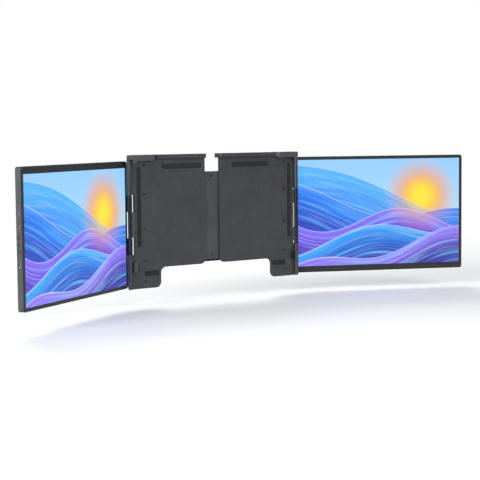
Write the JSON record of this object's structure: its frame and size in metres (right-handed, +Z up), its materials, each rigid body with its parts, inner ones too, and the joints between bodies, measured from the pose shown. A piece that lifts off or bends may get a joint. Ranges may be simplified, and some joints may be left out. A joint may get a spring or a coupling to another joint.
{
  "type": "laptop screen extender",
  "caption": "Folding side monitors on hinged, sliding arms that hook over a laptop lid, with a pull-out rear kickstand.",
  "frame": {"origin": "on the back plane of the laptop lid that the bracket hangs on, midway across it and level with the middle of its screen", "axes": "+X to the right along the lid, +Y away from the user, +Z up"},
  "size_m": [0.8696, 0.1641, 0.2055],
  "materials": {
    "case_black": "fine textured black moulding",
    "bezel_black": "smooth satin black frame",
    "screen": "anti-glare sheet over a lit picture",
    "panel_dark": "panel edge",
    "board_green": "circuit board",
    "socket_steel": "bright plated shell",
    "key_black": "satin key cap",
    "arm_metal": "dark grey powder coat",
    "claw_plastic": "dark grey moulding",
    "trim_metal": "polished edge",
    "hinge_steel": "dark grey coated steel",
    "pin_steel": "ground steel",
    "screw_steel": "black oxide",
    "rubber_black": "matt silicone rubber",
    "slide_plastic": "low-friction acetal",
    "spine_plastic": "fine textured moulding"
  },
  "bodies": {
    "spine": {"spine_housing": "spine_plastic", "spine_cover": "spine_plastic", "spine_screws": "screw_steel", "guide_rods": "pin_steel", "kickstand_pin": "pin_steel"},
    "left_arm": {"left_arm_plate": "arm_metal", "left_top_bar": "arm_metal", "left_side_beam": "arm_metal", "left_corner_claw": "claw_plastic", "left_claw_pad": "rubber_black", "left_side_clip": "claw_plastic", "left_clip_pad": "rubber_black", "left_lid_pads": "rubber_black", "left_hinge_pins": "pin_steel", "left_hinge_collars": "hinge_steel", "left_hinge_trim": "trim_metal", "left_slide_blocks": "slide_plastic", "left_arm_screws": "screw_steel"},
    "left_monitor": {"left_back_cover": "case_black", "left_front_bezel": "bezel_black", "left_display_glass": "screen", "left_lcd_cell": "panel_dark", "left_backlight": "panel_dark", "left_driver_board": "board_green", "left_usb_c_sockets": "socket_steel", "left_mini_hdmi_socket": "socket_steel", "left_hinge_leaf": "hinge_steel", "left_leaf_screws": "screw_steel"},
    "left_menu_key": {"left_menu_key": "key_black"},
    "left_up_key": {"left_up_key": "key_black"},
    "left_down_key": {"left_down_key": "key_black"},
    "right_arm": {"right_arm_plate": "arm_metal", "right_top_bar": "arm_metal", "right_side_beam": "arm_metal", "right_corner_claw": "claw_plastic", "right_claw_pad": "rubber_black", "right_side_clip": "claw_plastic", "right_clip_pad": "rubber_black", "right_lid_pads": "rubber_black", "right_hinge_pins": "pin_steel", "right_hinge_collars": "hinge_steel", "right_hinge_trim": "trim_metal", "right_slide_blocks": "slide_plastic", "right_arm_screws": "screw_steel"},
    "right_monitor": {"right_back_cover": "case_black", "right_front_bezel": "bezel_black", "right_display_glass": "screen", "right_lcd_cell": "panel_dark", "right_backlight": "panel_dark", "right_driver_board": "board_green", "right_usb_c_sockets": "socket_steel", "right_mini_hdmi_socket": "socket_steel", "right_hinge_leaf": "hinge_steel", "right_leaf_screws": "screw_steel"},
    "right_menu_key": {"right_menu_key": "key_black"},
    "right_up_key": {"right_up_key": "key_black"},
    "right_down_key": {"right_down_key": "key_black"},
    "kickstand": {"kickstand_leaf": "arm_metal"},
    "kickstand_slider": {"kickstand_blade": "trim_metal", "kickstand_foot": "rubber_black"}
  },
  "joints": [
    {"name": "left_arm_slide", "type": "slide", "parent": "spine", "child": "left_arm", "axis": [-1, 0, 0], "range_m": [-0.008, 0.032]},
    {"name": "left_monitor_hinge", "type": "hinge", "parent": "left_arm", "child": "left_monitor", "pos_m": [-0.1654, -0.0014, 0.0059], "axis": [0, 0, 1], "range_deg": [-40.2, 149.8]},
    {"name": "left_menu_key_press", "type": "slide", "parent": "left_monitor", "child": "left_menu_key", "axis": [0.8643, 0.503, 0], "range_m": [0, 0.0004], "stiffness_N_per_m": 500},
    {"name": "left_up_key_press", "type": "slide", "parent": "left_monitor", "child": "left_up_key", "axis": [0.8643, 0.503, 0], "range_m": [0, 0.0004], "stiffness_N_per_m": 500},
    {"name": "left_down_key_press", "type": "slide", "parent": "left_monitor", "child": "left_down_key", "axis": [0.8643, 0.503, 0], "range_m": [0, 0.0004], "stiffness_N_per_m": 500},
    {"name": "right_arm_slide", "type": "slide", "parent": "spine", "child": "right_arm", "axis": [1, 0, 0], "range_m": [-0.008, 0.032]},
    {"name": "right_monitor_hinge", "type": "hinge", "parent": "right_arm", "child": "right_monitor", "pos_m": [0.1606, -0.0012, 0.0059], "axis": [0, 0, -1], "range_deg": [-34.4, 155.6]},
    {"name": "right_menu_key_press", "type": "slide", "parent": "right_monitor", "child": "right_menu_key", "axis": [-0.9107, 0.4131, 0], "range_m": [0, 0.0004], "stiffness_N_per_m": 500},
    {"name": "right_up_key_press", "type": "slide", "parent": "right_monitor", "child": "right_up_key", "axis": [-0.9107, 0.4131, 0], "range_m": [0, 0.0004], "stiffness_N_per_m": 500},
    {"name": "right_down_key_press", "type": "slide", "parent": "right_monitor", "child": "right_down_key", "axis": [-0.9107, 0.4131, 0], "range_m": [0, 0.0004], "stiffness_N_per_m": 500},
    {"name": "kickstand_hinge", "type": "hinge", "parent": "spine", "child": "kickstand", "pos_m": [-0.009, 0.0162, 0.072], "axis": [1, 0, 0], "range_deg": [0, 60]},
    {"name": "kickstand_pull", "type": "slide", "parent": "kickstand", "child": "kickstand_slider", "axis": [0, 0, -1], "range_m": [0, 0.065]}
  ]
}
